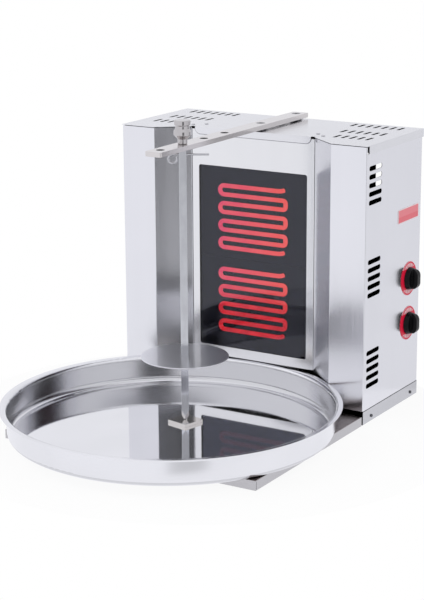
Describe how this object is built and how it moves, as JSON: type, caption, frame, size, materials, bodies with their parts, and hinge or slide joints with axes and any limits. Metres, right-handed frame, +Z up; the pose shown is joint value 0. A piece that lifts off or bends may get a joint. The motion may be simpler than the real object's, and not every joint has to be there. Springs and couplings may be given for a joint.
{
  "type": "vertical rotisserie broiler",
  "caption": "Upright electric broiler: a hand-turned spit stands in a round drip tray before a glass-fronted heater cabinet with regulator knobs on its side.",
  "frame": {"origin": "on the table, under the middle of the whole object's bounding box", "axes": "+X to the right seen from the front, +Y from the front to the back, +Z up"},
  "size_m": [0.564, 0.736, 0.5254],
  "materials": {
    "stainless_sheet": "brushed stainless sheet",
    "tray_steel": "polished stainless",
    "polished_steel": "turned and polished",
    "fastener_steel": "plain steel",
    "heater_glass": "dark glass",
    "glowing_sheath": "glowing sheath",
    "fibre_board": "dark fibre board",
    "gasket_fibre": "woven fibre",
    "knob_black": "gloss black",
    "dial_red": "gloss red",
    "plate_red": "printed red",
    "regulator_black": "moulded",
    "terminal_white": "ceramic white",
    "lead_sleeve": "silicone sleeve",
    "gland_grey": "nylon"
  },
  "bodies": {
    "cabinet": {"base_plate": "stainless_sheet", "cabinet_floor": "stainless_sheet", "left_side_shell": "stainless_sheet", "right_side_shell": "stainless_sheet", "back_panel": "stainless_sheet", "top_lid": "stainless_sheet", "heater_frame": "stainless_sheet", "heater_pan": "stainless_sheet", "clamp_bars": "stainless_sheet", "frame_brackets": "stainless_sheet", "arm_stiffener": "stainless_sheet", "element_supports": "stainless_sheet", "top_arm": "stainless_sheet", "pivot_plate": "stainless_sheet", "drip_tray": "tray_steel", "floor_studs": "fastener_steel", "stud_nuts": "fastener_steel", "frame_rivets": "fastener_steel", "lid_rivets": "fastener_steel", "regulator_screws": "fastener_steel", "arm_screws": "fastener_steel", "arm_spacers": "fastener_steel", "arm_nuts": "fastener_steel", "skirt_screws": "fastener_steel", "back_screws": "fastener_steel", "lid_screws": "fastener_steel", "glass_pane": "heater_glass", "upper_element": "glowing_sheath", "lower_element": "glowing_sheath", "upper_insulation": "fibre_board", "lower_insulation": "fibre_board", "glass_gasket": "gasket_fibre", "upper_dial": "dial_red", "lower_dial": "dial_red", "name_plate": "plate_red", "upper_regulator": "regulator_black", "lower_regulator": "regulator_black", "terminal_block": "terminal_white", "internal_leads": "lead_sleeve", "cable_gland": "gland_grey", "gland_nut": "gland_grey"},
    "spit": {"spit_bar": "polished_steel", "spit_finial": "polished_steel", "meat_disc": "tray_steel", "disc_pin": "fastener_steel"},
    "ring_pin": {"ring_pin": "polished_steel"},
    "upper_knob": {"upper_knob": "knob_black", "upper_shaft": "fastener_steel"},
    "lower_knob": {"lower_knob": "knob_black", "lower_shaft": "fastener_steel"}
  },
  "joints": [
    {"name": "spit_spin", "type": "hinge", "parent": "cabinet", "child": "spit", "pos_m": [0, -0.04303, 0.25], "axis": [0, 0, 1], "continuous": true},
    {"name": "ring_pin_pull", "type": "slide", "parent": "spit", "child": "ring_pin", "axis": [-0.848, -0.5299, 0], "range_m": [0, 0.05]},
    {"name": "upper_knob_turn", "type": "hinge", "parent": "cabinet", "child": "upper_knob", "pos_m": [0.24, 0.30547, 0.22], "axis": [-1, 0, 0], "range_deg": [0, 270]},
    {"name": "lower_knob_turn", "type": "hinge", "parent": "cabinet", "child": "lower_knob", "pos_m": [0.24, 0.30547, 0.14], "axis": [-1, 0, 0], "range_deg": [0, 270]}
  ]
}
